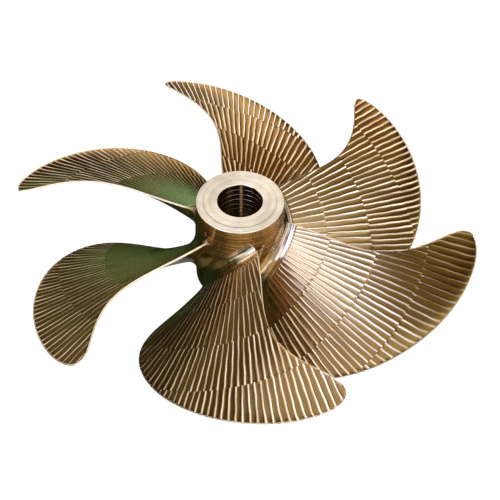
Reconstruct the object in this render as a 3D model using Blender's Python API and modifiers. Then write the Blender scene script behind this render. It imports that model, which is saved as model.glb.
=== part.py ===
"""Six-bladed, right-handed, fixed-pitch ship propeller in bronze, lying on the forward face of its hub.

Metres, +Z up. The shaft axis is Z and the ship lies below: the hub's forward face is at Z = 0 and the
propeller is seen from aft. Blade 1's generator line points along +X, and the others follow it
counterclockwise. x is a radius as a share of the propeller's own, as on a propeller drawing.
"""

import math

import bmesh
import bpy
from mathutils import Vector

# Driving dimensions
DIAMETER = 2.500
BLADE_COUNT = 6
RADIUS = DIAMETER / 2

HUB_LENGTH = 0.558
HUB_AFT_RADIUS = 0.2325
HUB_FORWARD_RADIUS = 0.250
HUB_BARREL = 0.004
FORWARD_CHAMFER = 0.006
AFT_CHAMFER = 0.003
NUT_FACE_RADIUS = 0.193
NUT_FACE_HEIGHT = 0.002

BORE_AFT_RADIUS = 0.1185
BORE_TAPER = 1 / 24
BORE_CHAMFER = 0.004

GENERATOR_HEIGHT = 0.232
ROOT_X = 0.19
ROOT_PITCH_RATIO = 0.824
MIDDLE_PITCH_RATIO = 1.068
TIP_PITCH_RATIO = 0.865
SKEW_LAW_DEGREES = (29.0, -182.0, 323.0, -136.0)
CHORD_LAW = (0.43, 0.26, 2.00, -1.37, 0.43)

ROOT_THICKNESS = 0.108
TIP_THICKNESS = 0.012
THICKNESS_POWER = 0.85
ROOT_FULLNESS = 2.4
TIP_FULLNESS = 2.0
CAMBER_RATIO = 0.022
EDGE_RADIUS = 0.005
FILLET_RADIUS = 0.050
LEADING_FILLET_SHARE = 0.25
TRAILING_FILLET_SHARE = 1.0

# Mesh fineness
HUB_STEPS = 84
BARREL_POINTS = 6
SIDE_POINTS = 10
SPAN_STATIONS = 18
FILLET_STATIONS = 5
BURIED_DEPTH = 0.030
GAP = 0.0003


def clear_scene():
    for obj in list(bpy.data.objects):
        bpy.data.objects.remove(obj, do_unlink=True)


def make_collection(name):
    collection = bpy.data.collections.new(name)
    bpy.context.scene.collection.children.link(collection)
    return collection


def make_material(name, colour, roughness, metallic):
    material = bpy.data.materials.new(name)
    material.use_nodes = True
    shader = material.node_tree.nodes["Principled BSDF"]
    shader.inputs["Base Color"].default_value = (*colour, 1.0)
    shader.inputs["Roughness"].default_value = roughness
    shader.inputs["Metallic"].default_value = metallic
    material.diffuse_color = (*colour, 1.0)
    return material


def lerp(a, b, share):
    return a + (b - a) * share


def polynomial(terms, u):
    return sum(term * u**power for power, term in enumerate(terms))


def hub_radius(z):
    """Radius of the hub's slightly barrelled outer wall at height z."""
    share = z / HUB_LENGTH
    return lerp(HUB_FORWARD_RADIUS, HUB_AFT_RADIUS, share) + 4 * HUB_BARREL * share * (1 - share)


def bore_radius(z):
    """Radius of the tapered bore, which widens towards the ship."""
    return BORE_AFT_RADIUS + (HUB_LENGTH - z) * BORE_TAPER


def outer_wall(grow):
    """Points (radius, z) of the hub's outer side from the aft edge down to the forward face."""
    top = HUB_LENGTH - NUT_FACE_HEIGHT
    points = [(HUB_AFT_RADIUS - AFT_CHAMFER + grow, top)]
    for i in range(BARREL_POINTS):
        z = lerp(top - AFT_CHAMFER, FORWARD_CHAMFER, i / (BARREL_POINTS - 1))
        points.append((hub_radius(z) + grow, z))
    points.append((HUB_FORWARD_RADIUS - FORWARD_CHAMFER + grow, 0.0))
    return points


def turned(name, profile, closed, collection):
    """A solid of revolution about Z from points (radius, z), top to bottom on the outer side."""
    mesh = bpy.data.meshes.new(name)
    count = len(profile)
    edges = [(i, i + 1) for i in range(count - 1)]
    if closed:
        edges.append((count - 1, 0))
    mesh.from_pydata([(radius, 0.0, z) for radius, z in profile], edges, [])
    obj = bpy.data.objects.new(name, mesh)
    collection.objects.link(obj)
    screw = obj.modifiers.new("turn", "SCREW")
    screw.axis = "Z"
    screw.angle = 2 * math.pi
    screw.steps = HUB_STEPS
    screw.render_steps = HUB_STEPS
    screw.use_merge_vertices = True
    screw.merge_threshold = 0.00005
    return obj


def make_hub(collection, material):
    profile = outer_wall(0.0)
    profile += [
        (bore_radius(0.0) + BORE_CHAMFER, 0.0),
        (bore_radius(BORE_CHAMFER), BORE_CHAMFER),
        (bore_radius(HUB_LENGTH - BORE_CHAMFER), HUB_LENGTH - BORE_CHAMFER),
        (BORE_AFT_RADIUS + BORE_CHAMFER, HUB_LENGTH),
        (NUT_FACE_RADIUS, HUB_LENGTH),
        (NUT_FACE_RADIUS, HUB_LENGTH - NUT_FACE_HEIGHT),
    ]
    hub = turned("hub", profile, True, collection)
    hub.data.materials.append(material)
    hub.data.shade_smooth()
    hub.data.set_sharp_from_angle(angle=math.radians(20))
    return hub


def make_hub_cutter(collection):
    """The hub without its bore, larger all round by the gap at which a blade meets it, and longer below."""
    wall = outer_wall(GAP)
    below = -BURIED_DEPTH
    profile = [(0.0, HUB_LENGTH), *wall, (wall[-1][0], below), (0.0, below)]
    cutter = turned("hub_cutter", profile, False, collection)
    cutter.hide_render = True
    cutter.display_type = "WIRE"
    return cutter


def span_share(x):
    return (x - ROOT_X) / (1 - ROOT_X)


def pitch_ratio(x):
    """Pitch over diameter, on one parabola through its root, middle and tip values."""
    u = span_share(x)
    root = ROOT_PITCH_RATIO * (1 - u) * (1 - 2 * u)
    middle = MIDDLE_PITCH_RATIO * 4 * u * (1 - u)
    tip = TIP_PITCH_RATIO * u * (2 * u - 1)
    return root + middle + tip


def skew(x):
    """Angle by which the mid-chord lags the generator line: nil at the root, greatest at the tip."""
    u = span_share(x)
    return math.radians(u * polynomial(SKEW_LAW_DEGREES, u))


def chord(x):
    """Width of the blade at x, rounded off towards the tip."""
    u = span_share(x)
    return RADIUS * math.sqrt(max(0.0, 1 - u)) * polynomial(CHORD_LAW, u)


def thickness(x):
    return lerp(ROOT_THICKNESS, TIP_THICKNESS, max(0.0, span_share(x)) ** THICKNESS_POWER)


def fullness(x):
    """Power by which the section thins towards its edges, blunter at the root."""
    return lerp(ROOT_FULLNESS, TIP_FULLNESS, min(1.0, max(0.0, 2 * span_share(x))))


def section_outline(x):
    """Outline of the section at x, from the trailing edge over the pressure face to the leading edge
    and back along the suction side, as (along, up, normal along, normal up, fillet share).

    along runs from the mid-chord towards the trailing edge, and up towards the pressure face. The root
    fillet is full from the trailing edge to mid-chord and narrows towards the leading edge.
    """
    width = chord(x)
    edge = min(EDGE_RADIUS, width / 5)
    half = width / 2 - edge
    swell = max(0.0, min(thickness(x) / 2, width / 4) - edge)
    camber = CAMBER_RATIO * width
    power = fullness(x)

    def side(sign):
        points = []
        for i in range(SIDE_POINTS + 1):
            s = math.cos(math.pi * i / SIDE_POINTS)
            if sign < 0:
                s = -s
            round_off = 1 - abs(s) ** power
            height = sign * (edge + swell * round_off) - camber * round_off
            steepness = math.copysign(power * abs(s) ** (power - 1), s)
            slope = -steepness * (sign * swell - camber) / max(half, 1e-6)
            normal = Vector((-slope, 1.0)).normalized() * sign
            edge_share = TRAILING_FILLET_SHARE if s > 0 else LEADING_FILLET_SHARE
            points.append((s * half, height, normal.x, normal.y, lerp(edge_share, 1.0, round_off)))
        return points

    leading_edge = (-half - edge, 0.0, -1.0, 0.0, LEADING_FILLET_SHARE)
    trailing_edge = (half + edge, 0.0, 1.0, 0.0, TRAILING_FILLET_SHARE)
    return side(1) + [leading_edge] + side(-1) + [trailing_edge]


def on_cylinder(x, along, up):
    """A point of the section at x, wrapped round the shaft axis."""
    pitch = math.atan(pitch_ratio(x) / (math.pi * x))
    helix_rise = skew(x) * pitch_ratio(x) * RADIUS / math.pi
    round_way = along * math.cos(pitch) - up * math.sin(pitch)
    radius = x * RADIUS
    angle = skew(x) + round_way / radius
    z = GENERATOR_HEIGHT + helix_rise + along * math.sin(pitch) + up * math.cos(pitch)
    return Vector((radius * math.cos(angle), radius * math.sin(angle), z))


def fillet_flare(height):
    """How far the full root fillet stands out from the blade at a height above the hub's wall."""
    left = FILLET_RADIUS - min(max(height, 0.0), FILLET_RADIUS)
    return FILLET_RADIUS - math.sqrt(FILLET_RADIUS**2 - left**2)


def blade_stations():
    """Shares x from inside the hub to just short of the tip, closer in the fillet and at the tip."""
    hub_x = hub_radius(GENERATOR_HEIGHT) / RADIUS
    fillet_x = FILLET_RADIUS / RADIUS
    stations = [hub_x - BURIED_DEPTH / RADIUS]
    for i in range(FILLET_STATIONS):
        stations.append(hub_x + fillet_x * (1 - math.cos(math.pi / 2 * i / FILLET_STATIONS)))
    first = hub_x + fillet_x
    for i in range(SPAN_STATIONS):
        share = i / SPAN_STATIONS
        stations.append(lerp(first, 1.0, 1 - (1 - share) ** 2))
    return stations


def blade_mesh():
    """The lofted blade with its inner end still inside the hub."""
    bm = bmesh.new()
    rings = []
    for x in blade_stations():
        ring = []
        for along, up, normal_along, normal_up, fillet in section_outline(x):
            height = x * RADIUS - hub_radius(on_cylinder(x, along, up).z)
            flare = fillet * fillet_flare(height)
            point = on_cylinder(x, along + flare * normal_along, up + flare * normal_up)
            ring.append(bm.verts.new(point))
        rings.append(ring)
    tip = bm.verts.new(on_cylinder(1.0, 0.0, 0.0))
    count = len(rings[0])
    for inner, outer in zip(rings, rings[1:]):
        for i in range(count):
            j = (i + 1) % count
            bm.faces.new((inner[i], inner[j], outer[j], outer[i]))
    for i in range(count):
        bm.faces.new((rings[-1][i], rings[-1][(i + 1) % count], tip))
    bm.faces.new(rings[0][::-1])
    bmesh.ops.recalc_face_normals(bm, faces=bm.faces)
    mesh = bpy.data.meshes.new("blade")
    bm.to_mesh(mesh)
    bm.free()
    return mesh


def cut_by(mesh, cutter, collection):
    """The mesh less the cutter, as a new mesh."""
    blank = bpy.data.objects.new("blade_blank", mesh)
    collection.objects.link(blank)
    boolean = blank.modifiers.new("seat on the hub", "BOOLEAN")
    boolean.operation = "DIFFERENCE"
    boolean.object = cutter
    bpy.context.view_layer.update()
    graph = bpy.context.evaluated_depsgraph_get()
    result = bpy.data.meshes.new_from_object(blank.evaluated_get(graph))
    bpy.data.objects.remove(blank, do_unlink=True)
    return result


def make_blades(collection, cutters, material):
    cutter = make_hub_cutter(cutters)
    mesh = cut_by(blade_mesh(), cutter, cutters)
    mesh.name = "blade"
    mesh.materials.clear()
    mesh.materials.append(material)
    mesh.shade_smooth()
    mesh.set_sharp_from_angle(angle=math.radians(35))
    for number in range(BLADE_COUNT):
        blade = bpy.data.objects.new(f"blade_{number + 1}", mesh)
        blade.rotation_euler = (0.0, 0.0, 2 * math.pi * number / BLADE_COUNT)
        collection.objects.link(blade)


def main():
    clear_scene()
    propeller = make_collection("ship_propeller")
    cutters = make_collection("cutters")
    turned_bronze = make_material("turned_bronze", (0.80, 0.74, 0.62), 0.35, 1.0)
    milled_bronze = make_material("milled_bronze", (0.62, 0.45, 0.24), 0.22, 1.0)
    make_hub(propeller, turned_bronze)
    make_blades(propeller, cutters, milled_bronze)


main()
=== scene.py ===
"""Looks of the six-bladed ship propeller: milled bronze blades round a turned hub, on a pale floor.

Metres, +Z up, shaft axis on Z, forward face of the hub on the floor. x is a radius as a share of the
propeller's own, and angles are measured round the shaft from each blade's generator line.
"""

import math

import bpy
from mathutils import Matrix, Vector


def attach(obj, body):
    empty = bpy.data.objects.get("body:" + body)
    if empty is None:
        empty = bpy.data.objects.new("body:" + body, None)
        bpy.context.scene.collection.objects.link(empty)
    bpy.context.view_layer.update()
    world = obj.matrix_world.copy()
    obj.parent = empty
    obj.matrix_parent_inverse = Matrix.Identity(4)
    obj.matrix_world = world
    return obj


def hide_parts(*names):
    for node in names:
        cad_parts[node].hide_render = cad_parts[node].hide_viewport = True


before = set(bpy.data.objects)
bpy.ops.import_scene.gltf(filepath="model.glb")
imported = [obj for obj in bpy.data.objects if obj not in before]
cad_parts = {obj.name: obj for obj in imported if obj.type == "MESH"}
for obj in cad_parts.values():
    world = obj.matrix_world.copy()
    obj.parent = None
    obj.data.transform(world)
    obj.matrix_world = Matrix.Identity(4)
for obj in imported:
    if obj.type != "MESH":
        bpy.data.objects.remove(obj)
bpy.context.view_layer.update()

# Driving dimensions of the hub
HUB_LENGTH = 0.558
HUB_AFT_RADIUS = 0.2325
HUB_FORWARD_RADIUS = 0.250
HUB_BARREL = 0.004
FORWARD_CHAMFER = 0.006
AFT_CHAMFER = 0.003
NUT_FACE_RADIUS = 0.193
NUT_FACE_HEIGHT = 0.002
BORE_AFT_RADIUS = 0.1185
BORE_TAPER = 1 / 24
BORE_CHAMFER = 0.004

# Turning marks of the hub: rings round its wall, and narrow grooves in its bore
WALL_RINGS = 40
WALL_RING_POINTS = 5
WALL_RING_DEPTH = 0.0003
BORE_GROOVE_PITCH = 0.037
BORE_GROOVE_HALF_WIDTH = 0.0014
BORE_GROOVE_DEPTH = 0.0009
BORE_GROOVE_POINTS = (-1.0, -0.75, -0.5, -0.25, 0.0, 0.25, 0.5, 0.75, 1.0)
HUB_STEPS = 192
HUB_SHARP_ANGLE = math.radians(20)

# Driving dimensions of the blades
RADIUS = 1.250
BLADE_COUNT = 6
GENERATOR_HEIGHT = 0.232
ROOT_X = 0.19
ROOT_PITCH_RATIO = 0.824
MIDDLE_PITCH_RATIO = 1.068
TIP_PITCH_RATIO = 0.865
SKEW_LAW_DEGREES = (29.0, -182.0, 323.0, -136.0)
CHORD_LAW = (0.43, 0.26, 2.00, -1.37, 0.43)
ROOT_THICKNESS = 0.108
TIP_THICKNESS = 0.012
THICKNESS_POWER = 0.85
ROOT_FULLNESS = 2.4
TIP_FULLNESS = 2.0
CAMBER_RATIO = 0.022
EDGE_RADIUS = 0.005
RIM_ANGLES = (60, 30, 0, -30, -60)
INSET = 0.001
TIP_TRIM = 0.001
FILLET_RADIUS = 0.050
LEADING_FILLET_SHARE = 0.25
TRAILING_FILLET_SHARE = 1.0
SLIMMEST_HALF_CHORD = 0.02
BLADE_SHARP_ANGLE = math.radians(24)

# Milling of the blades: rings of grooves between these shares of the radius
BAND_EDGES = (0.243, 0.40, 0.60, 0.80, 1.0)
BAND_STEP = 0.0015
BAND_ROWS = 16
LAST_BAND_ROWS = 34
TIP_CLOSING = 1.7
RIDGE_HALF_WIDTH = 0.22
RIDGE_HEIGHT = 0.055
RIDGE_CHANGE = math.radians(25.0)
TROUGH_DEPTH = 0.030
GROOVE_POINTS = (0.0, 0.045, 0.09, 0.135, 0.18, 0.225, 0.36, 0.5, 0.64, 0.775, 0.82, 0.865, 0.91, 0.955)
RUN_OUT = 0.007

# Start of the innermost grooves: how far their rounded ends curve, how fast they deepen, and extra rows of
# points for both, as shares of the radius
GROOVE_END_CURVE = 0.005
GROOVE_END_LENGTH = 0.004
GROOVE_END_ROWS = (0.0015, 0.003, 0.0045, 0.006, 0.008)

# Unevenness of the ridges: size, waves along the blade, and shift from one ridge to the next
RIDGE_WAVERS = ((0.035, 34.0, 2.4), (0.02, 83.0, 5.3))
RIDGE_UNEVENNESS = (0.22, 23.0, 1.7)

# The cutter's passes round the root fillet
ROOT_START = 0.185
ROOT_GAP = 0.002
ROOT_PASSES = 5
ROOT_PASS_ROWS = 6
ROOT_PASS_DEPTH = 0.0006
ROOT_REACH_DEGREES = 42.0
ROOT_COLUMNS = 85

# Each band's grooves, from the root outward: height of the ridges at the leading and at the trailing edge as
# shares of the usual, which also sets how strongly the ridges' painted highlight shows; in degrees, the
# first ridge's angle from the blade's generator line, the step to the next ridge, and the growth of the step
GROOVES = {
    "blade_1": (
        (1.0, 1.0, -28.8, 3.25, 0.0170), (1.0, 1.0, -28.5, 2.69, -0.0010),
        (0.9, 0.85, -22.1, 2.00, -0.0015), (0.6, 0.8, -5.7, 1.89, -0.0024),
    ),
    "blade_2": (
        (0.7, 0.7, -29.9, 3.40, 0.0140), (0.75, 0.5, -29.5, 2.65, 0.0007),
        (0.85, 1.0, -22.3, 2.30, -0.0063), (1.4, 1.3, -6.8, 1.94, -0.0068),
    ),
    "blade_3": (
        (0.3, 0.3, -29.2, 3.22, 0.0010), (0.4, 0.4, -28.8, 2.06, 0.0147),
        (0.35, 0.9, -21.8, 1.96, 0.0010), (1.0, 0.85, -6.65, 1.90, -0.0022),
    ),
    "blade_4": (
        (0.2, 0.2, -29.5, 3.20, 0.0), (0.35, 0.4, -29.0, 2.47, 0.0),
        (0.65, 0.55, -22.0, 2.04, 0.0), (0.55, 0.65, -7.0, 1.73, -0.0030),
    ),
    "blade_5": (
        (0.5, 0.7, -29.7, 2.73, 0.0154), (0.4, 0.8, -28.1, 2.43, -0.0047),
        (0.45, 1.0, -20.9, 2.09, -0.0068), (0.3, 1.1, -5.4, 1.65, -0.0013),
    ),
    "blade_6": (
        (0.1, 1.2, -27.25, 2.97, -0.0058), (0.8, 1.05, -28.6, 2.55, -0.0083),
        (1.2, 0.35, -21.3, 1.93, 0.0), (1.2, 0.32, -7.1, 2.08, -0.0065),
    ),
}

# Milled bronze: the troughs' colour is the bronze darkened as painted shade, and the ridges' near-white
# colour is a painted highlight
TROUGH_SHADE_DARK = (0.46, 0.30, 0.12)
TROUGH_SHADE_PALE = (0.55, 0.38, 0.17)
TROUGH_ROUGHNESS = (0.13, 0.22)
RIDGE_HIGHLIGHT_COLOUR = (1.00, 0.92, 0.79)
RIDGE_METALLIC = 0.45
RIDGE_EXTRA_ROUGHNESS = 0.20
# How much of the ridges' painted highlight the rounded edges get
RIM_HIGHLIGHT_SHARE = 0.8
STREAK_TINT = (0.70, 0.55, 0.35)
STREAK_STRETCH = (3.0, 60.0, 0.0)
ROOT_COLOUR = (0.66, 0.53, 0.36)

# Turned bronze, with painted shade in its turning lines and at the nut face's step
FACE_DARK = (0.78, 0.73, 0.62)
FACE_LIGHT = (0.95, 0.91, 0.83)
FACE_METALLIC = 0.62
FACE_ROUGHNESS = 0.36
WALL_DARK = (0.50, 0.31, 0.11)
WALL_LIGHT = (0.60, 0.40, 0.16)
WALL_ROUGHNESS = 0.27
BORE_COLOUR = (0.50, 0.38, 0.28)
BORE_ROUGHNESS = 0.17
# Painted shade: a dark ring in the corner of the step round the nut face
CORNER_SHADE_COLOUR = (0.10, 0.07, 0.04)
# Turning lines darkened as painted shade, weakest on the aft face
CUT_SHADE_TINT = (0.48, 0.38, 0.24)

# The photograph's viewpoint
VIEW_ELEVATION = 49.07
VIEW_AZIMUTH = -13.32
VIEW_ROLL = 0.17
VIEW_DISTANCE = 4.467
VIEW_TARGET = (-0.0065, 0.0, 0.0981)
LENS = 56.44
SHIFT = (0.0229, 0.0157)

# Soft lights of the surroundings, which the metal mirrors: azimuth to the right of the view's far side,
# elevation and reach in degrees, colour
GLOWS = (
    (-120.0, -66.0, 30.0, (0.12, 0.09, 0.04)),
    (12.0, -55.0, 10.0, (3.00, 3.10, 3.20)),
    (-108.0, -24.0, 22.0, (0.14, 0.10, 0.04)),
    (6.0, -20.0, 14.0, (0.30, 0.58, 0.30)),
    (110.0, -20.0, 24.0, (2.40, 1.65, 0.80)),
    (170.0, -14.0, 18.0, (1.10, 0.95, 0.80)),
    (-17.0, -13.0, 13.0, (0.14, 0.26, 0.09)),
    (158.0, -4.0, 25.0, (0.61, 0.52, 0.47)),
    (-136.0, -2.0, 16.0, (1.10, 1.00, 0.90)),
    (8.0, 9.0, 11.0, (0.28, 0.23, 0.15)),
    (-156.0, 18.0, 25.0, (0.55, 0.60, 0.62)),
    (-132.0, 18.0, 25.0, (0.80, 0.95, 0.98)),
    (-84.0, 18.0, 25.0, (1.07, 1.00, 0.92)),
    (-36.0, 18.0, 25.0, (0.07, 0.09, 0.04)),
    (46.0, 18.0, 22.0, (0.13, 0.05, 0.00)),
    (132.0, 18.0, 25.0, (0.57, 0.51, 0.50)),
    (-50.0, 24.0, 20.0, (0.09, 0.07, 0.03)),
    (12.0, 24.0, 18.0, (0.30, 0.27, 0.20)),
    (-177.0, 25.0, 22.0, (1.33, 1.34, 1.90)),
    (-106.0, 28.0, 12.0, (0.30, 0.13, 0.00)),
    (21.0, 31.0, 22.0, (0.98, 0.84, 0.66)),
    (-89.0, 35.0, 15.0, (0.72, 0.57, 0.42)),
    (152.0, 36.0, 25.0, (1.00, 1.04, 1.46)),
    (58.0, 40.0, 20.0, (0.20, 0.14, 0.05)),
    (120.0, 40.0, 25.0, (0.20, 0.27, 0.36)),
    (90.0, 41.0, 25.0, (0.32, 0.28, 0.17)),
    (-88.0, 42.0, 18.0, (0.40, 0.24, 0.12)),
    (-134.0, 43.0, 21.0, (1.72, 2.05, 3.95)),
    (138.0, 52.0, 18.0, (0.45, 0.45, 0.42)),
    (0.0, 54.0, 16.0, (0.85, 0.82, 0.76)),
    (-130.0, 56.0, 18.0, (0.65, 0.88, 1.50)),
    (-129.0, 62.0, 25.0, (0.22, 0.20, 0.20)),
    (-77.0, 62.0, 25.0, (0.45, 0.43, 0.48)),
    (-26.0, 62.0, 25.0, (0.24, 0.24, 0.12)),
    (129.0, 62.0, 25.0, (0.18, 0.16, 0.05)),
    (-60.0, 84.0, 25.0, (0.17, 0.16, 0.08)),
)
DIM_SKY = (0.06, 0.03, 0.01)
DIM_GROUND = (0.02, 0.03, 0.01)

# Lamps for the ridges and the hub's pale face: azimuth and elevation as above, power in watts, colour
LAMP_DISTANCE = 7.0
LAMP_SIZE = 5.0
LAMPS = {
    "left_lamp": (150.0, 22.0, 500.0, (1.00, 0.97, 0.93)),
    "right_lamp": (50.0, 22.0, 470.0, (1.00, 0.80, 0.66)),
    "top_lamp": (150.0, 65.0, 370.0, (1.00, 0.93, 0.80)),
}
BACKDROP = (0.95, 0.95, 0.95)
FLOOR_SIZE = 30.0
FLOOR_GLOW = 0.95


def lerp(a, b, share):
    return a + (b - a) * share


def polynomial(terms, u):
    return sum(term * u**power for power, term in enumerate(terms))


def smooth_step(value):
    value = min(max(value, 0.0), 1.0)
    return value * value * (3 - 2 * value)


# Blade form, by the same laws as the solids

def span_share(x):
    return (x - ROOT_X) / (1 - ROOT_X)


def pitch_ratio(x):
    u = span_share(x)
    root = ROOT_PITCH_RATIO * (1 - u) * (1 - 2 * u)
    middle = MIDDLE_PITCH_RATIO * 4 * u * (1 - u)
    tip = TIP_PITCH_RATIO * u * (2 * u - 1)
    return root + middle + tip


def pitch_angle(x):
    return math.atan(pitch_ratio(x) / (math.pi * x))


def skew(x):
    u = span_share(x)
    return math.radians(u * polynomial(SKEW_LAW_DEGREES, u))


def half_chord(x):
    """Half the blade's width at x, up to where the rounded edge starts."""
    u = span_share(x) + TIP_TRIM
    chord = RADIUS * math.sqrt(max(0.0, 1 - u)) * polynomial(CHORD_LAW, u)
    return chord / 2 - EDGE_RADIUS - INSET


def half_angle(x):
    """The same as an angle round the shaft."""
    return half_chord(x) * math.cos(pitch_angle(x)) / (x * RADIUS)


def margin(x, angle):
    """Above zero inside the blade's outline."""
    return half_angle(x) - abs(angle - skew(x))


def hub_radius(z):
    share = z / HUB_LENGTH
    return lerp(HUB_FORWARD_RADIUS, HUB_AFT_RADIUS, share) + 4 * HUB_BARREL * share * (1 - share)


def on_cylinder(x, along, up):
    pitch = pitch_angle(x)
    helix_rise = skew(x) * pitch_ratio(x) * RADIUS / math.pi
    round_way = along * math.cos(pitch) - up * math.sin(pitch)
    radius = x * RADIUS
    angle = skew(x) + round_way / radius
    z = GENERATOR_HEIGHT + helix_rise + along * math.sin(pitch) + up * math.cos(pitch)
    return Vector((radius * math.cos(angle), radius * math.sin(angle), z))


def round_off(x, share):
    """How the section thins towards its edges, blunter at the root."""
    power = lerp(ROOT_FULLNESS, TIP_FULLNESS, min(1.0, max(0.0, 2 * span_share(x))))
    return 1 - abs(share) ** power


def edge_fillet_share(share):
    return TRAILING_FILLET_SHARE if share > 0 else LEADING_FILLET_SHARE


def bulge(x, share, side):
    """How far a face stands beyond the edge's own thickness, at a share of the half chord."""
    thickness = lerp(ROOT_THICKNESS, TIP_THICKNESS, max(0.0, span_share(x)) ** THICKNESS_POWER)
    half = max(half_chord(x), 0.0)
    swell = max(0.0, min(thickness, half) / 2 - EDGE_RADIUS)
    camber = CAMBER_RATIO * 2 * half
    return (side * swell - camber) * round_off(x, share)


def fillet_flare(height):
    left = FILLET_RADIUS - min(max(height, 0.0), FILLET_RADIUS)
    return FILLET_RADIUS - math.sqrt(FILLET_RADIUS**2 - left**2)


# Grooves

def groove_angle(number, first, step, growth):
    return math.radians(first + (step + growth * number) * number)


def groove_number(angle, first, step, growth):
    """The ridge's number, or a value between two, at an angle."""
    offset = math.degrees(angle) - first
    return 2 * offset / (step + math.sqrt(step**2 + 4 * growth * offset))


def ridge_share(phase):
    """1 on top of a ridge, falling smoothly to 0 at its foot."""
    offset = abs(phase - round(phase))
    return (1 + math.cos(math.pi * min(1.0, offset / RIDGE_HALF_WIDTH))) / 2


def waver(x, number):
    """Sideways wander of a ridge along the blade, as a share of the step."""
    return sum(size * math.sin(waves * x + shift * number) for size, waves, shift in RIDGE_WAVERS)


def milling(x, angle, band, grooves):
    """Depth of the surface below the ridges' tops, and how much of a ridge it is there, which sets the
    painted highlight.

    The grooves run out at the rim and at the root, where the cutter's round passes take over.
    """
    if band is None:
        phase = (x - ROOT_START) / (BAND_EDGES[0] - ROOT_START) * ROOT_PASSES
        return ROOT_PASS_DEPTH * (1 - (2 * (phase % 1.0) - 1) ** 2), 0.0
    leading, trailing, first, step, growth = grooves[band]
    phase = groove_number(angle, first, step, growth)
    width = math.radians(step + 2 * growth * phase) * x * RADIUS
    number = math.floor(phase)
    phase += lerp(waver(x, number), waver(x, number + 1), phase - number)
    rim = smooth_step((half_chord(x) - abs(angle - skew(x)) * half_chord(x) / half_angle(x)) / RUN_OUT)
    across = abs(phase - math.floor(phase) - 0.5) * 2
    start = BAND_EDGES[0] + GROOVE_END_CURVE * across**2
    strength = rim * smooth_step((x - start) / GROOVE_END_LENGTH)
    ridge = ridge_share(phase)
    level = lerp(leading, trailing, smooth_step((angle + RIDGE_CHANGE) / (2 * RIDGE_CHANGE)))
    size, waves, shift = RIDGE_UNEVENNESS
    level *= 1 + size * math.sin(waves * x + shift * round(phase))
    depth = RIDGE_HEIGHT * (1 - ridge * level) + TROUGH_DEPTH * (1 - across**2)
    return strength * width * depth, strength * ridge * level


# Unrolled blade outline, cut into cells along the grooves

def edge_angle(x, side):
    return skew(x) + side * half_angle(x)


def crossing_share(x_in, x_out, angle):
    """The share x between a point inside and one outside the outline where the column meets it."""
    for _ in range(30):
        x = (x_in + x_out) / 2
        if margin(x, angle) > 0:
            x_in = x
        else:
            x_out = x
    return x_in


class Sheet:
    """One blade's outline unrolled: points (x, angle, band, on the rim), faces between them, root's end."""

    def __init__(self):
        self.points = []
        self.faces = []
        self.root_row = []

    def add_point(self, x, angle, band, rim):
        self.points.append((x, angle, band, rim))
        return len(self.points) - 1

    def add_band(self, columns, rows, band):
        """Adds the cells of one band and returns its innermost and outermost row of points."""
        inside = {}
        for i, angle in enumerate(columns):
            for j, x in enumerate(rows):
                if margin(x, angle) > 0:
                    inside[i, j] = self.add_point(x, angle, band, False)
        on_row = {}
        for j, x in enumerate(rows):
            for i in range(len(columns) - 1):
                if ((i, j) in inside) != ((i + 1, j) in inside):
                    side = -1 if (i + 1, j) in inside else 1
                    on_row[i, j] = self.add_point(x, edge_angle(x, side), band, True)
        on_column = {}
        for i, angle in enumerate(columns):
            for j in range(len(rows) - 1):
                if ((i, j) in inside) != ((i, j + 1) in inside):
                    ends = (rows[j], rows[j + 1]) if (i, j) in inside else (rows[j + 1], rows[j])
                    on_column[i, j] = self.add_point(crossing_share(*ends, angle), angle, band, True)
        for i in range(len(columns) - 1):
            for j in range(len(rows) - 1):
                loop = [
                    inside.get((i, j)),
                    on_row.get((i, j)),
                    inside.get((i + 1, j)),
                    on_column.get((i + 1, j)),
                    inside.get((i + 1, j + 1)),
                    on_row.get((i, j + 1)),
                    inside.get((i, j + 1)),
                    on_column.get((i, j)),
                ]
                loop = [point for point in loop if point is not None]
                if len(loop) >= 3:
                    self.faces.append(loop)
        return [self.row_of(inside, on_row, j) for j in (0, len(rows) - 1)]

    def row_of(self, inside, on_row, j):
        row = [point for (i, k), point in inside.items() if k == j]
        row += [point for (i, k), point in on_row.items() if k == j]
        return sorted(row, key=lambda point: self.points[point][1])

    def join_rows(self, inner, outer):
        """Triangles between two rows whose points lie at different angles."""
        i = 0
        j = 0
        while i < len(inner) - 1 or j < len(outer) - 1:
            next_inner = self.points[inner[i + 1]][1] if i < len(inner) - 1 else math.inf
            next_outer = self.points[outer[j + 1]][1] if j < len(outer) - 1 else math.inf
            if next_inner <= next_outer:
                self.faces.append([inner[i], inner[i + 1], outer[j]])
                i += 1
            else:
                self.faces.append([inner[i], outer[j + 1], outer[j]])
                j += 1

    def rim_edges(self):
        """Edges of a single face that lie on the outline, in the faces' own direction."""
        uses = {}
        for loop in self.faces:
            for a, b in zip(loop, loop[1:] + loop[:1]):
                uses[a, b] = uses.get((a, b), 0) + 1
        edges = []
        for a, b in uses:
            if (b, a) not in uses and self.points[a][3] and self.points[b][3]:
                edges.append((a, b))
        return edges


def groove_columns(low, high, pattern):
    """Angles of the points across the grooves between two limits, close together at the ridges."""
    columns = []
    spacing = pattern[2:]
    start = math.floor(groove_number(low, *spacing)) - 1
    end = math.ceil(groove_number(high, *spacing)) + 1
    for number in range(start, end):
        for share in GROOVE_POINTS:
            columns.append(groove_angle(number + share, *spacing))
    return columns


def even_values(low, high, count):
    return [lerp(low, high, i / (count - 1)) for i in range(count)]


def band_rows(inner, outer, count, closing):
    """Radii of the points along the grooves, closing up towards the tip in the last band."""
    rows = []
    for i in range(count):
        share = i / (count - 1)
        if closing:
            share = 1 - (1 - share) ** TIP_CLOSING
        rows.append(lerp(inner, outer, share))
    return rows


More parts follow.
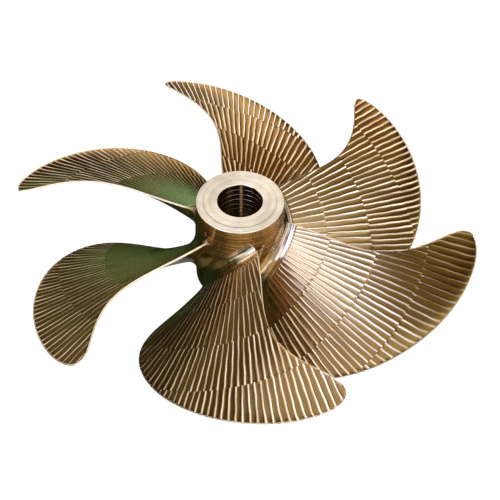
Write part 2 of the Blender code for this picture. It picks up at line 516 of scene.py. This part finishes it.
def unrolled_blade(grooves):
    sheet = Sheet()
    band_step = BAND_STEP / RADIUS
    root_rows = even_values(ROOT_START, BAND_EDGES[0] - ROOT_GAP, ROOT_PASS_ROWS * ROOT_PASSES)
    root_degrees = even_values(-ROOT_REACH_DEGREES, ROOT_REACH_DEGREES, ROOT_COLUMNS)
    root_columns = [math.radians(value) for value in root_degrees]
    sheet.root_row, outer = sheet.add_band(root_columns, root_rows, None)
    for band, pattern in enumerate(grooves):
        last = band == len(grooves) - 1
        inner_x = BAND_EDGES[band] + (band_step if band else 0.0)
        outer_x = BAND_EDGES[band + 1] - (0.0 if last else band_step)
        rows = band_rows(inner_x, outer_x, LAST_BAND_ROWS if last else BAND_ROWS, last)
        if band == 0:
            rows[1:1] = [inner_x + offset for offset in GROOVE_END_ROWS]
        low = min(edge_angle(x, -1) for x in rows)
        high = max(edge_angle(x, 1) for x in rows)
        columns = groove_columns(low, high, pattern)
        first_row, last_row = sheet.add_band(columns, rows, band)
        sheet.join_rows(outer, first_row)
        outer = last_row
    return sheet


# Blade mesh

def face_point(x, angle, band, side, grooves):
    """A point of the pressure face (side 1) or the suction side (side -1)."""
    half = half_chord(x)
    share = (angle - skew(x)) / half_angle(x)
    share = min(max(share, -1.0), 1.0)
    if half > SLIMMEST_HALF_CHORD:
        share += bulge(x, share, side) * math.tan(pitch_angle(x)) / half
        share = min(max(share, -1.0), 1.0)
    up = side * EDGE_RADIUS + bulge(x, share, side)
    rise = bulge(x, share + 0.01, side) - bulge(x, share - 0.01, side)
    slope = rise / (0.02 * max(half, SLIMMEST_HALF_CHORD))
    length = math.hypot(slope, 1.0)
    along = share * half
    height = x * RADIUS - hub_radius(on_cylinder(x, along, up).z)
    spread = lerp(edge_fillet_share(share), 1.0, round_off(x, share))
    flare = fillet_flare(height) * spread - milling(x, angle, band, grooves)[0]
    along -= side * slope / length * flare
    up += side * flare / length
    return on_cylinder(x, along, up)


def rim_frame(x, angle):
    """Middle of the rounded edge, its flare into the root fillet and the direction across the blade."""
    side = 1 if angle > skew(x) else -1
    along = side * max(half_chord(x), 0.0)
    centre = on_cylinder(x, along, 0.0)
    height = x * RADIUS - hub_radius(centre.z)
    flare = edge_fillet_share(side) * fillet_flare(height)
    across = (on_cylinder(x, along, 0.001) - centre).normalized()
    return centre, flare, across


def blade_mesh(name, grooves):
    sheet = unrolled_blade(grooves)
    vertices = []
    for side in (1, -1):
        for x, angle, band, rim in sheet.points:
            if rim:
                centre, flare, across = rim_frame(x, angle)
                vertices.append(centre + side * (EDGE_RADIUS + flare) * across)
            else:
                vertices.append(face_point(x, angle, band, side, grooves))
    count = len(sheet.points)
    faces = [loop[::-1] for loop in sheet.faces]
    faces += [[point + count for point in loop] for loop in sheet.faces]

    edges = sheet.rim_edges()
    following = dict(edges)
    leading = {b: a for a, b in edges}
    ring = {}
    for point in set(following) | set(leading):
        x, angle, _, _ = sheet.points[point]
        centre, flare, across = rim_frame(x, angle)
        before = rim_frame(*sheet.points[leading.get(point, point)][:2])[0]
        after = rim_frame(*sheet.points[following.get(point, point)][:2])[0]
        outward = (after - before).cross(across).normalized()
        chain = [point]
        for degrees in RIM_ANGLES:
            turn = math.radians(degrees)
            out_way = EDGE_RADIUS * math.cos(turn) + flare * (1 - abs(degrees) / 90)
            cross_way = EDGE_RADIUS * math.sin(turn) + flare * degrees / 90
            vertices.append(centre + out_way * outward + cross_way * across)
            chain.append(len(vertices) - 1)
        chain.append(point + count)
        ring[point] = chain
    for a, b in edges:
        for low, high in zip(range(len(RIM_ANGLES) + 1), range(1, len(RIM_ANGLES) + 2)):
            faces.append([ring[a][low], ring[b][low], ring[b][high], ring[a][high]])

    # The root's end, inside the hub's wall
    row = sheet.root_row
    faces += [[a, b, b + count, a + count] for a, b in zip(row, row[1:])]
    faces.append([row[0]] + ring[row[0]][:0:-1])
    faces.append([row[-1] + count] + ring[row[-1]][:-1])

    mesh = bpy.data.meshes.new(name)
    mesh.from_pydata(vertices, [], faces)
    marks = [(x, angle, milling(x, angle, band, grooves)[1]) for x, angle, band, _ in sheet.points] * 2
    # The rounded edges are marked as part ridge, which paints a highlight along them
    for chain in ring.values():
        marks += [(*marks[chain[0]][:2], RIM_HIGHLIGHT_SHARE)] * len(RIM_ANGLES)
    attribute = mesh.attributes.new("milling", "FLOAT_VECTOR", "POINT")
    attribute.data.foreach_set("vector", [value for mark in marks for value in mark])
    mesh.shade_smooth()
    mesh.set_sharp_from_angle(angle=BLADE_SHARP_ANGLE)
    return mesh


def make_blades(material):
    for number in range(BLADE_COUNT):
        node = f"blade_{number + 1}"
        name = f"milled_{node}"
        blade = bpy.data.objects.new(name, blade_mesh(name, GROOVES[node]))
        blade.data.transform(Matrix.Rotation(2 * math.pi * number / BLADE_COUNT, 4, "Z"))
        bpy.context.scene.collection.objects.link(blade)
        blade.data.materials.append(material)
        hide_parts(node)
        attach(blade, "root")


# Hub

def bore_radius(z):
    return BORE_AFT_RADIUS + (HUB_LENGTH - z) * BORE_TAPER


def make_hub(material):
    top = HUB_LENGTH - NUT_FACE_HEIGHT
    profile = [(HUB_AFT_RADIUS - AFT_CHAMFER, top)]
    steps = WALL_RING_POINTS * WALL_RINGS
    for i in range(steps + 1):
        z = lerp(top - AFT_CHAMFER, FORWARD_CHAMFER, i / steps)
        dip = WALL_RING_DEPTH * math.sin(math.pi * i / WALL_RING_POINTS) ** 2
        profile.append((hub_radius(z) - dip, z))
    profile.append((HUB_FORWARD_RADIUS - FORWARD_CHAMFER, 0.0))
    profile.append((bore_radius(0.0) + BORE_CHAMFER, 0.0))
    profile.append((bore_radius(0.0), BORE_CHAMFER))
    for number in range(int(HUB_LENGTH / BORE_GROOVE_PITCH) - 1, 0, -1):
        middle = HUB_LENGTH - number * BORE_GROOVE_PITCH
        for share in BORE_GROOVE_POINTS:
            z = middle + share * BORE_GROOVE_HALF_WIDTH
            profile.append((bore_radius(z) + BORE_GROOVE_DEPTH * math.cos(math.pi / 2 * share) ** 2, z))
    profile += [
        (bore_radius(HUB_LENGTH), HUB_LENGTH - BORE_CHAMFER),
        (bore_radius(HUB_LENGTH) + BORE_CHAMFER, HUB_LENGTH),
        (NUT_FACE_RADIUS, HUB_LENGTH),
        (NUT_FACE_RADIUS, top),
    ]
    mesh = bpy.data.meshes.new("turned_hub")
    count = len(profile)
    edges = [(i, (i + 1) % count) for i in range(count)]
    mesh.from_pydata([(radius, 0.0, z) for radius, z in profile], edges, [])
    hub = bpy.data.objects.new("turned_hub", mesh)
    bpy.context.scene.collection.objects.link(hub)
    screw = hub.modifiers.new("turn", "SCREW")
    screw.axis = "Z"
    screw.angle = 2 * math.pi
    screw.steps = HUB_STEPS
    screw.render_steps = HUB_STEPS
    screw.use_merge_vertices = True
    screw.merge_threshold = 0.00005
    bpy.context.view_layer.update()
    graph = bpy.context.evaluated_depsgraph_get()
    turned = bpy.data.meshes.new_from_object(hub.evaluated_get(graph))
    hub.modifiers.clear()
    hub.data = turned
    turned.shade_smooth()
    turned.set_sharp_from_angle(angle=HUB_SHARP_ANGLE)
    turned.materials.clear()
    turned.materials.append(material)
    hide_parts("hub")
    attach(hub, "root")


# Materials

class NodeTree:
    """Short way to add and link the nodes of a material or a world."""

    def __init__(self, owner):
        owner.use_nodes = True
        self.tree = owner.node_tree
        self.tree.nodes.clear()

    def add(self, kind, inputs=None, **settings):
        """A new node; an input given as an output socket is linked, and anything else is set."""
        node = self.tree.nodes.new(kind)
        for name, value in settings.items():
            setattr(node, name, value)
        for name, value in (inputs or {}).items():
            if isinstance(value, bpy.types.NodeSocket):
                self.tree.links.new(value, node.inputs[name])
            else:
                node.inputs[name].default_value = value
        return node

    def mix(self, share, first, second, blend="MIX"):
        node = self.add("ShaderNodeMix", data_type="RGBA", blend_type=blend, clamp_factor=False)
        for index, value in ((0, share), (6, first), (7, second)):
            if isinstance(value, bpy.types.NodeSocket):
                self.tree.links.new(value, node.inputs[index])
            else:
                node.inputs[index].default_value = (*value, 1.0) if isinstance(value, tuple) else value
        return node.outputs[2]

    def math(self, operation, first, second=0.0):
        return self.add("ShaderNodeMath", {0: first, 1: second}, operation=operation).outputs[0]

    def ramp(self, value, low, high, start=0.0, end=1.0):
        inputs = {"Value": value, "From Min": low, "From Max": high, "To Min": start, "To Max": end}
        return self.add("ShaderNodeMapRange", inputs).outputs["Result"]

    def noise(self, vector, scale, detail=2.0):
        inputs = {"Vector": vector, "Scale": scale, "Detail": detail}
        return self.add("ShaderNodeTexNoise", inputs).outputs["Fac"]


def milled_metal():
    """Bronze with painted shade darkening its troughs and a painted highlight along its ridges and rims,
    with streaks along the grooves.
    """
    material = bpy.data.materials.new("milled_bronze")
    nodes = NodeTree(material)
    marks = nodes.add("ShaderNodeAttribute", attribute_name="milling").outputs["Vector"]
    parts = nodes.add("ShaderNodeSeparateXYZ", {0: marks})
    inputs = {0: marks, 1: STREAK_STRETCH}
    stretched = nodes.add("ShaderNodeVectorMath", inputs, operation="MULTIPLY").outputs[0]
    streaks = nodes.noise(stretched, 3.0)
    fine = nodes.noise(stretched, 25.0, 1.0)
    place = nodes.add("ShaderNodeTexCoord").outputs["Object"]
    patches = nodes.noise(place, 2.2, 3.0)
    shaded_trough = nodes.mix(nodes.ramp(patches, 0.35, 0.65), TROUGH_SHADE_DARK, TROUGH_SHADE_PALE)
    # Painted highlight: ridges and rims take the near-white ridge colour over the troughs' painted shade
    colour = nodes.mix(parts.outputs["Z"], shaded_trough, RIDGE_HIGHLIGHT_COLOUR)
    colour = nodes.mix(nodes.ramp(streaks, 0.3, 0.7, 0.0, 0.20), colour, STREAK_TINT, "MULTIPLY")
    root = nodes.ramp(parts.outputs["X"], BAND_EDGES[0], BAND_EDGES[0] - 0.006)
    colour = nodes.mix(root, colour, ROOT_COLOUR)
    bump = nodes.add("ShaderNodeBump", {"Strength": 0.15, "Distance": 0.0006, "Height": fine})
    ripples = nodes.noise(place, 16.0, 1.0)
    waves = nodes.add("ShaderNodeBump", {
        "Strength": nodes.math("MULTIPLY", root, 0.6),
        "Distance": 0.006,
        "Height": ripples,
        "Normal": bump.outputs["Normal"],
    })
    rough = nodes.ramp(streaks, 0.3, 0.7, *TROUGH_ROUGHNESS)
    polish = nodes.math("SUBTRACT", 1.0, nodes.math("MULTIPLY", root, 0.5))
    polished = nodes.math("MULTIPLY", polish, rough)
    worn = nodes.ramp(parts.outputs["Z"], 0.25, 0.9, 0.0, RIDGE_EXTRA_ROUGHNESS)
    shader = nodes.add("ShaderNodeBsdfPrincipled", {
        "Base Color": colour,
        "Metallic": nodes.ramp(parts.outputs["Z"], 0.2, 0.9, 1.0, RIDGE_METALLIC),
        "Roughness": nodes.math("ADD", polished, worn),
        "Normal": waves.outputs["Normal"],
    })
    nodes.add("ShaderNodeOutputMaterial", {"Surface": shader.outputs["BSDF"]})
    return material


def turned_metal():
    """Bronze of the turned hub: a pale matt aft face, a polished wall and bore, fine rings all over, and
    painted shade in its turning lines and at the nut face's step.
    """
    material = bpy.data.materials.new("turned_bronze")
    nodes = NodeTree(material)
    place = nodes.add("ShaderNodeTexCoord").outputs["Object"]
    parts = nodes.add("ShaderNodeSeparateXYZ", {0: place})
    flat = nodes.add("ShaderNodeCombineXYZ", {0: parts.outputs["X"], 1: parts.outputs["Y"]}).outputs[0]
    radius = nodes.add("ShaderNodeVectorMath", {0: flat}, operation="LENGTH").outputs["Value"]
    face = nodes.ramp(parts.outputs["Z"], HUB_LENGTH - 0.0045, HUB_LENGTH - 0.0035)
    face = nodes.math("MULTIPLY", face, nodes.math("GREATER_THAN", radius, BORE_AFT_RADIUS + 0.002))
    blotches = nodes.noise(place, 14.0, 4.0)
    blotches = nodes.ramp(blotches, 0.35, 0.65)
    pale = nodes.mix(blotches, FACE_DARK, FACE_LIGHT)
    wall = nodes.mix(blotches, WALL_DARK, WALL_LIGHT)
    bore = nodes.math("LESS_THAN", radius, BORE_AFT_RADIUS + HUB_LENGTH * BORE_TAPER + 0.003)
    colour = nodes.mix(face, nodes.mix(bore, wall, BORE_COLOUR), pale)
    # Painted shade in the corner at the foot of the nut face's step
    corner_shade = nodes.math("COMPARE", radius, NUT_FACE_RADIUS + 0.0008)
    corner_shade.node.inputs[2].default_value = 0.0010
    corner_shade = nodes.math("MULTIPLY", corner_shade, nodes.math("LESS_THAN", parts.outputs["Z"], HUB_LENGTH - 0.0001))
    colour = nodes.mix(corner_shade, colour, CORNER_SHADE_COLOUR)
    # Real turning lines, darkened in the colour as painted shade, mostly on the wall and bore
    rings = nodes.add("ShaderNodeCombineXYZ", {0: radius, 1: parts.outputs["Z"]}).outputs[0]
    cut_shade = nodes.ramp(nodes.noise(rings, 110.0), 0.45, 0.55)
    cut_shade = nodes.math("MULTIPLY", cut_shade, nodes.ramp(face, 1.0, 0.0, 0.2))
    colour = nodes.mix(cut_shade, colour, CUT_SHADE_TINT, "MULTIPLY")
    lines = nodes.noise(rings, 420.0, 1.0)
    bump = nodes.add("ShaderNodeBump", {"Strength": 0.06, "Distance": 0.0005, "Height": lines})
    around = nodes.add("ShaderNodeTangent", direction_type="RADIAL", axis="Z")
    rough = nodes.ramp(face, 0.0, 1.0, WALL_ROUGHNESS, FACE_ROUGHNESS)
    smoother = nodes.math("MULTIPLY", bore, WALL_ROUGHNESS - BORE_ROUGHNESS)
    shader = nodes.add("ShaderNodeBsdfPrincipled", {
        "Base Color": colour,
        "Metallic": nodes.ramp(face, 0.0, 1.0, 1.0, FACE_METALLIC),
        "Roughness": nodes.math("SUBTRACT", rough, smoother),
        "Anisotropic": 0.8,
        "Anisotropic Rotation": 0.25,
        "Tangent": around.outputs["Tangent"],
        "Normal": bump.outputs["Normal"],
    })
    nodes.add("ShaderNodeOutputMaterial", {"Surface": shader.outputs["BSDF"]})
    return material


# Surroundings

def make_camera():
    elevation = math.radians(VIEW_ELEVATION)
    back = Vector((0.0, -math.cos(elevation), math.sin(elevation)))
    up = Vector((0.0, math.sin(elevation), math.cos(elevation)))
    right = Vector((1.0, 0.0, 0.0))
    roll = math.radians(VIEW_ROLL)
    rolled_right = math.cos(roll) * right + math.sin(roll) * up
    rolled_up = math.cos(roll) * up - math.sin(roll) * right
    pose = Matrix((rolled_right, rolled_up, back)).transposed().to_4x4()
    pose.translation = Vector(VIEW_TARGET) + VIEW_DISTANCE * back
    data = bpy.data.cameras.new("camera")
    data.lens = LENS
    data.shift_x, data.shift_y = SHIFT
    camera = bpy.data.objects.new("camera", data)
    camera.matrix_world = Matrix.Rotation(math.radians(VIEW_AZIMUTH), 4, "Z") @ pose
    bpy.context.scene.collection.objects.link(camera)
    bpy.context.scene.camera = camera


def make_floor():
    mesh = bpy.data.meshes.new("floor")
    corners = [(FLOOR_SIZE * x, FLOOR_SIZE * y, 0.0) for x, y in ((-1, -1), (1, -1), (1, 1), (-1, 1))]
    mesh.from_pydata(corners, [], [(0, 1, 2, 3)])
    floor = bpy.data.objects.new("floor", mesh)
    bpy.context.scene.collection.objects.link(floor)
    material = bpy.data.materials.new("floor")
    material.use_nodes = True
    shader = material.node_tree.nodes["Principled BSDF"]
    shader.inputs["Base Color"].default_value = (0.3, 0.3, 0.3, 1.0)
    shader.inputs["Roughness"].default_value = 0.8
    shader.inputs["Emission Color"].default_value = (1.0, 1.0, 1.0, 1.0)
    shader.inputs["Emission Strength"].default_value = FLOOR_GLOW
    mesh.materials.append(material)
    floor.visible_glossy = False


def direction(azimuth, elevation):
    """Unit vector of an azimuth and elevation given from the photograph's viewpoint."""
    turned = math.radians(VIEW_AZIMUTH)
    across = math.radians(azimuth)
    up = math.radians(elevation)
    vector = Vector((math.sin(across) * math.cos(up), math.cos(across) * math.cos(up), math.sin(up)))
    return Matrix.Rotation(turned, 3, "Z") @ vector


def make_lamps():
    """Broad lamps that light the matt places, and that the polished ones don't mirror."""
    for name, (azimuth, elevation, power, colour) in LAMPS.items():
        data = bpy.data.lights.new(name, "AREA")
        data.size = LAMP_SIZE
        data.energy = power
        data.color = colour
        way = direction(azimuth, elevation)
        lamp = bpy.data.objects.new(name, data)
        lamp.visible_glossy = False
        lamp.location = LAMP_DISTANCE * way
        lamp.rotation_euler = way.to_track_quat("Z", "Y").to_euler()
        bpy.context.scene.collection.objects.link(lamp)


def make_world():
    """A dim surround with broad soft lights, and a pale backdrop where the camera looks past the floor."""
    world = bpy.data.worlds.new("studio")
    nodes = NodeTree(world)
    way = nodes.add("ShaderNodeTexCoord").outputs["Generated"]
    height = nodes.add("ShaderNodeSeparateXYZ", {0: way}).outputs["Z"]
    colour = nodes.mix(nodes.ramp(height, -0.25, 0.35), DIM_GROUND, DIM_SKY)
    for azimuth, elevation, reach, light in GLOWS:
        inputs = {0: way, 1: direction(azimuth, elevation)}
        facing = nodes.add("ShaderNodeVectorMath", inputs, operation="DOT_PRODUCT").outputs["Value"]
        glow = nodes.ramp(facing, math.cos(math.radians(reach)), 1.0)
        glow.node.interpolation_type = "SMOOTHERSTEP"
        colour = nodes.mix(glow, colour, light, "ADD")
    surround = nodes.add("ShaderNodeBackground", {"Color": colour}).outputs[0]
    backdrop = nodes.add("ShaderNodeBackground", {"Color": (*BACKDROP, 1.0)}).outputs[0]
    seen = nodes.add("ShaderNodeLightPath").outputs["Is Camera Ray"]
    choice = nodes.add("ShaderNodeMixShader", {0: seen, 1: surround, 2: backdrop}).outputs[0]
    nodes.add("ShaderNodeOutputWorld", {"Surface": choice})
    bpy.context.scene.world = world


make_camera()
make_blades(milled_metal())
make_hub(turned_metal())
make_floor()
make_world()
make_lamps()
bpy.context.scene.view_settings.view_transform = "Standard"
